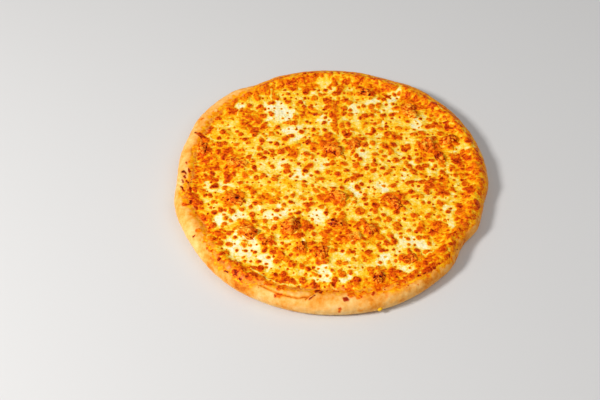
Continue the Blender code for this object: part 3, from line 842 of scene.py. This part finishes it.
def square_to_disc(cells):
    """Places in the unit disc for a square grid of cells of like size, by concentric squares."""
    across, up = np.meshgrid(np.linspace(-1, 1, cells + 1), np.linspace(-1, 1, cells + 1))
    wide = np.abs(across) > np.abs(up)
    radius = np.where(wide, across, up)
    safe = np.where(radius == 0, 1, radius)
    angle = np.where(wide, math.pi / 4 * up / safe, math.pi / 2 - math.pi / 4 * across / safe)
    return radius * np.cos(angle), radius * np.sin(angle)


def build_cheese():
    """Places, faces and fields of the cheese: a fine top, a rounded lip and an underside on the dough."""
    unit_x, unit_y = square_to_disc(GRID_CELLS)
    direction = np.arctan2(unit_y, unit_x)
    reach = cheese_edge(direction) - LIP
    x = (unit_x * reach).ravel()
    y = (unit_y * reach).ravel()
    fields, relief = cheese_fields(x, y)
    z = cheese_top(x, y) + relief
    merge = ease(reach.ravel() - np.hypot(x, y), MERGE_WIDTH, 0)
    z = z + (dough_height(x, y) + MERGE_FILM + relief * 0.3 - z) * merge
    number = np.arange(len(x)).reshape(unit_x.shape)
    cells = np.stack([number[:-1, :-1], number[:-1, 1:], number[1:, 1:], number[1:, :-1]], axis=-1)
    faces = cells.reshape(-1, 4).tolist()
    loop = np.concatenate([number[0, :-1], number[:-1, -1], number[-1, :0:-1], number[:0:-1, 0]])

    loop_direction = direction.ravel()[loop]
    edge = cheese_edge(loop_direction)
    rings = []
    for step in range(1, LIP_RINGS + 1):
        turned = math.pi / 2 * step / LIP_RINGS
        ring = place_of(loop_direction, edge - LIP * (1 - math.sin(turned)))
        start = dough_height(x[loop], y[loop]) - LIP_SUNK
        rings.append((*ring, dough_height(*ring) - LIP_SUNK + (z[loop] - start) * math.cos(turned)))
    for share in UNDER_SHARES:
        ring = place_of(loop_direction, edge * share)
        rings.append((*ring, dough_height(*ring) + UNDER_GAP))
    points = np.concatenate([np.stack([x, y, z], axis=1), *(np.stack(ring, axis=1) for ring in rings),
                             [(0, 0, WELL_HEIGHT + UNDER_GAP)]])
    around = len(loop)
    inner = loop
    next_on = np.roll(np.arange(around), -1)
    for ring in range(len(rings)):
        outer = len(x) + ring * around + np.arange(around)
        faces += np.stack([inner, outer, outer[next_on], inner[next_on]], axis=-1).tolist()
        inner = outer
    pole = np.full(around, len(points) - 1)
    faces += np.stack([inner, pole, inner[next_on]], axis=-1).tolist()

    def carried_down(top):
        """A field of the top, carried on over the lip and the underside."""
        return np.concatenate([top, np.tile(top[loop], len(rings)), top[:1]])

    return points, faces, {name: carried_down(top) for name, top in fields.items()}


# How a blister colours the cheese: a dark core, paler towards its crisp edge, and a golden halo.
blister, given, result = new_group("blister", {"Baked": 0.4, "Heat": 0.4, "Away": 4.0, "Depth": 0.8},
                                   (("Baked", "NodeSocketFloat"), ("Dome", "NodeSocketFloat")))
core = smooth_step(blister, given["Away"], 1.18, 0.80)
halo = smooth_step(blister, given["Away"], 1.9, 0.9)
gold = calculate(blister, "MULTIPLY", halo, scaled(blister, given["Heat"], 0.25, 0.62))
lift = calculate(blister, "MAXIMUM", calculate(blister, "SUBTRACT", 0.42, given["Baked"]), 0.0)
haloed = scaled(blister, lift, gold, given["Baked"])
inside = calculate(blister, "POWER", calculate(blister, "MINIMUM", given["Away"], 1.0), 2.0)
hot = scaled(blister, given["Heat"], 0.80, 0.52)
fading = calculate(blister, "MULTIPLY", scaled(blister, inside, -0.6, 1.0), hot)
deeper = calculate(blister, "SUBTRACT", given["Depth"], 0.60)
level = scaled(blister, deeper, fading, 0.60)
darker = calculate(blister, "MAXIMUM", calculate(blister, "SUBTRACT", level, haloed), 0.0)
dome = smooth_step(blister, given["Away"], 1.25, 0.2)
feed(blister, result, {"Baked": scaled(blister, darker, core, haloed), "Dome": dome})

# The small ones: (spacing, smallest and largest radius, share of places that hold one, least and greatest
# depth of colour, least heat). The last layer is scorched specks.
SMALL_BLISTERS = (
    (6.8 * MM, 1.0 * MM, 2.3 * MM, 0.75, 0.67, 1.02, 0.0),
    (3.8 * MM, 0.5 * MM, 1.0 * MM, 0.25, 0.55, 0.90, 0.3),
    (5.0 * MM, 0.5 * MM, 1.2 * MM, 0.55, 0.95, 1.12, 0.5),
)


def drawn_spots(tree, place, heat, layer):
    """Distance over radius, and depth of colour, of the nearest small blister of one layer of them."""
    spacing, smallest, largest, share, least, greatest, least_heat = layer
    shifted = on_vectors(tree, "ADD", place, (spacing * 31, spacing * 17, 0))
    inputs = {"Vector": shifted, "Scale": 1 / spacing, "Randomness": 0.7}
    cells = add_node(tree, "ShaderNodeTexVoronoi", inputs, voronoi_dimensions="2D")
    draws = add_node(tree, "ShaderNodeSeparateColor", {"Color": cells.outputs["Color"]})
    mostly_small = calculate(tree, "POWER", draws.outputs[0], 1.4)
    varied = scaled(tree, mostly_small, largest - smallest, smallest)
    heated = calculate(tree, "MULTIPLY", varied, scaled(tree, heat, 0.30, 0.90))
    distance = calculate(tree, "MULTIPLY", cells.outputs["Distance"], spacing)
    away = calculate(tree, "DIVIDE", distance, heated)
    empty = calculate(tree, "GREATER_THAN", draws.outputs[1], share)
    cold = calculate(tree, "LESS_THAN", heat, least_heat)
    away = scaled(tree, calculate(tree, "ADD", empty, cold), FURTHEST_AWAY, away)
    return away, scaled(tree, draws.outputs[2], greatest - least, least)


def add_oil(tree, shader, size):
    """Shiny patches of oil of about that size on a shader, as a weak coat."""
    shiny = noise(tree, size, detail=2)
    coat = scaled(tree, shiny, 2.0, -1.2, clamp=True)
    feed(tree, shader, {"Coat Weight": coat, "Coat Roughness": 0.3, "Specular IOR Level": 0.06})


cheese_material, tree, shader = new_material("browned_cheese")
heat = field(tree, "heat")
place = add_node(tree, "ShaderNodeTexCoord").outputs["Object"]
place = moved(tree, moved(tree, place, 5 * MM, 3 * MM), 1.6 * MM, 1.0 * MM)
uneven = calculate(tree, "SUBTRACT", noise(tree, 1.2 * MM, detail=2), 0.5)
ragged = calculate(tree, "MULTIPLY", uneven, scaled(tree, heat, 0.8, 0.2))
layers = [(calculate(tree, "ADD", field(tree, "blister"), ragged), field(tree, "depth"))]
layers += [drawn_spots(tree, place, heat, layer) for layer in SMALL_BLISTERS]
baked = field(tree, "baked")
domes = 0.0
for away, depth in layers:
    spots = add_group(tree, blister, Baked=baked, Heat=heat, Away=away, Depth=depth)
    baked = spots["Baked"]
    domes = calculate(tree, "ADD", spots["Dome"], domes)
string = smooth_step(tree, scaled(tree, uneven, 2.0, field(tree, "string")), 1.5, 0.4)
string = calculate(tree, "MULTIPLY", string, 0.7)
baked = scaled(tree, calculate(tree, "SUBTRACT", 0.14, baked), string, baked)
grainy = scaled(tree, heat, 0.40, 0.36)
browned = add_group(tree, browning, Baked=baked, Grain=grainy, Threads=scaled(tree, heat, 0.28, 0.08))
dough = add_group(tree, dough_skin, Baked=0.58)
patchy = scaled(tree, noise(tree, 3 * MM, detail=3), 3.0, -1.5)
thinned = scaled(tree, field(tree, "thin"), 2.2, calculate(tree, "ADD", patchy, -0.7))
as_dough = scaled(tree, browned["Baked"], -0.5, thinned, clamp=True)
merged = mixed_colour(tree, as_dough, browned["Color"], dough["Color"])
oily = noise(tree, 5 * MM, detail=2)
feed(tree, shader, {"Base Color": merged, "Roughness": scaled(tree, oily, -0.5, 0.72)})
add_relief(tree, shader, scaled(tree, domes, 0.9, browned["Height"]), 0.8, 0.6 * MM)
add_oil(tree, shader, 3.5 * MM)

cheese_points, cheese_faces, cheese_values = build_cheese()
cheese = make_piece("melted_cheese", cheese_points, cheese_faces, cheese_material, **cheese_values)
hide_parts("cheese")

# The bead of cheese
# A drop of cheese that ran over the rim in front, set on the outer wall and browned a little. It is one
# smooth lump of the same cheese, stuck to the dough.
BEAD_DIRECTION = math.radians(-73.4)
BEAD_HEIGHT = 6.5 * MM
BEAD_SIZE = (2.4 * MM, 2.1 * MM, 2.6 * MM)
BEAD_STUCK = 1.0 * MM
BEAD_RINGS = 24
BEAD_LUMPS = (2.5, 0.10, 900)
LUMP_WAVES = 6
LUMP_GAIN = 2.0


def lumps(ways, form, number):
    """Swelling of a piece in every direction: the mean of a few sine waves in random directions."""
    scale, height, seed = form
    draw = np.random.default_rng(seed + number)
    runs = draw.normal(0, scale, (3, LUMP_WAVES))
    starts = draw.uniform(0, 2 * math.pi, LUMP_WAVES)
    return height * LUMP_GAIN * np.sin(ways @ runs + starts).mean(axis=1)


def sphere_ways(rings, around):
    """Directions from the middle of a sphere to its points, from the top pole down ring by ring."""
    down = np.linspace(0, math.pi, rings + 2)[1:-1, None]
    turn = np.linspace(0, 2 * math.pi, around, endpoint=False)[None, :]
    ring = np.stack([np.sin(down) * np.cos(turn), np.sin(down) * np.sin(turn), np.cos(down) + 0 * turn], -1)
    return np.concatenate([[(0, 0, 1)], ring.reshape(-1, 3), [(0, 0, -1)]])


bead_ways = sphere_ways(BEAD_RINGS, 2 * BEAD_RINGS)
bead_middle = (*place_of(BEAD_DIRECTION, outline(BEAD_DIRECTION) - BEAD_STUCK), BEAD_HEIGHT)
bead_points = bead_middle + bead_ways * BEAD_SIZE * (1 + lumps(bead_ways, BEAD_LUMPS, 0))[:, None]
bead_fields = {"heat": 0.5, "baked": 0.4, "blister": FURTHEST_AWAY, "depth": 0.7, "string": FURTHEST_AWAY,
               "thin": 0}
bead_fields = {name: np.full(len(bead_ways), value) for name, value in bead_fields.items()}
bead_faces = shell_faces(BEAD_RINGS, 2 * BEAD_RINGS)
bead = make_piece("cheese_bead", bead_points, bead_faces, cheese_material, **bead_fields)

# The meat
# Twenty-two lumps of cooked meat, browned and glazed in the oven, half sunk in the cheese, which clings
# to their lower parts. Each is one lobed piece with creases and a rough fibrous skin.
MEAT_SUNK = 3.2 * MM
MEAT_UNDERSIDE = 0.25
BLOCK_POWER = 2.6
BROAD_LUMPS = (2.2, 0.16, 100)
SMALL_LUMPS = (5.0, 0.08, 200)
MEAT_LOWERED = 0.94
MEAT_AROUND = 112
MEAT_RINGS = 64
MEAT_LOBES = (18, 350)
# Swellings by (scale, height, seed): what bends the lobes, opens the creases, runs as fibres and varies the
# depth of baking.
LOBE_BENDS = ((4.0, 1, 310), (4.0, 1, 320), (4.0, 1, 330))
LOBE_BENT = 0.16
OPEN_CREASES = (2.5, 1, 340)
FIBRES_ALONG = (9.0, 0.02, 400)
ROUGHNESS = (20.0, 0.02, 500)
LOBE_HEIGHT = 0.16
CREASE_DEPTH = 0.05
MEAT_BAKED = 0.68
MEAT_TONES = ((2.0, 0.07, 600), (9.0, 0.07, 700))


def lobes_of(ways, index):
    """Nearness to the middle of the nearest lobe, and to its border with the next lobe, by direction."""
    draw = np.random.default_rng(MEAT_LOBES[1] + index)
    middles = draw.normal(0, 1, (MEAT_LOBES[0], 3))
    middles /= np.linalg.norm(middles, axis=1, keepdims=True)
    away = np.sort(np.linalg.norm(ways[:, None, :] - middles[None, :, :], axis=2), axis=1)
    return np.exp(-((away[:, 0] / 0.45) ** 2)), np.exp(-(((away[:, 1] - away[:, 0]) / 0.13) ** 2))


def build_meat(number, middle, length, width, above, heading):
    """Places and fields of a piece of meat: a rounded block swollen into lobes, with creases and fibres."""
    index = number - 1
    ways = sphere_ways(MEAT_RINGS, MEAT_AROUND)
    bent_ways = ways + LOBE_BENT * np.stack([lumps(ways, form, index) for form in LOBE_BENDS], axis=1)
    lobe, crease = lobes_of(bent_ways, index)
    open_crease = crease * ease(lumps(ways, OPEN_CREASES, index), -0.3, 0.4)
    fibres = lumps(ways * (1, 3, 1), FIBRES_ALONG, index) + lumps(ways, ROUGHNESS, index)
    swelling = 1 + lumps(ways, BROAD_LUMPS, index) + lumps(ways, SMALL_LUMPS, index)
    swelling = swelling + LOBE_HEIGHT * (lobe - 0.8) - CREASE_DEPTH * open_crease + fibres
    blocky = ways / (np.abs(ways) ** BLOCK_POWER).sum(axis=1, keepdims=True) ** (1 / BLOCK_POWER)
    along = blocky[:, 0] * swelling * length / 2 * MM
    across = blocky[:, 1] * swelling * width / 2 * MM
    up = blocky[:, 2] * swelling * (above * MM + MEAT_SUNK) * MEAT_LOWERED
    turn = math.radians(heading)
    middle_x, middle_y = middle[0] * MM, middle[1] * MM
    x = middle_x + along * math.cos(turn) - across * math.sin(turn)
    y = middle_y + along * math.sin(turn) + across * math.cos(turn)
    base = cheese_top(np.array([middle_x]), np.array([middle_y]))[0] - MEAT_SUNK
    z = base + np.where(up > 0, up, up * MEAT_UNDERSIDE)
    clear = (z - cheese_top(x, y)) / MM
    baked = MEAT_BAKED + sum(lumps(ways, form, index) for form in MEAT_TONES)
    # Deeper colour in the creases is painted shade, and the paler middles of the lobes are painted light.
    baked = baked + 0.20 * open_crease - 0.04 * lobe
    fields = {"baked": np.clip(baked, 0, 1), "clear": clear, "crease": open_crease}
    return np.stack([x, y, z], axis=1), shell_faces(MEAT_RINGS, MEAT_AROUND), fields


# Roast meat by depth of baking, from the pale cheese that clings to it to scorched edges.
MEAT_COLOURS = (
    (0.00, 253, 240, 196), (0.20, 253, 222, 120), (0.38, 252, 190, 60), (0.52, 247, 154, 34),
    (0.64, 238, 118, 18), (0.74, 216, 82, 8), (0.83, 168, 48, 4), (0.92, 104, 24, 3), (1.00, 54, 12, 2),
)
meat_material, tree, shader = new_material("roast_meat")
cling = scaled(tree, noise(tree, 2.4 * MM, detail=3), 6.0, -3.2)
buried = calculate(tree, "SUBTRACT", cling, field(tree, "clear"))
covered = calculate(tree, "MULTIPLY", buried, 0.9, clamp=True)
baked = scaled(tree, covered, -0.26, field(tree, "baked"))
browned = add_group(tree, browning, Baked=baked, Grain=0.42, Threads=0.18)
feed(tree, shader, {"Base Color": colour_ramp(tree, browned["Baked"], MEAT_COLOURS), "Roughness": 0.5})
add_relief(tree, shader, browned["Height"], 0.8, 0.5 * MM)
add_oil(tree, shader, 2.5 * MM)

for number, middle, length, width, above, heading in MEAT_PIECES:
    meat_points, meat_faces, meat_values = build_meat(number, middle, length, width, above, heading)
    meat = make_piece(f"roast_meat_{number:02d}", meat_points, meat_faces, meat_material, **meat_values)
    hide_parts(f"meat_{number:02d}")
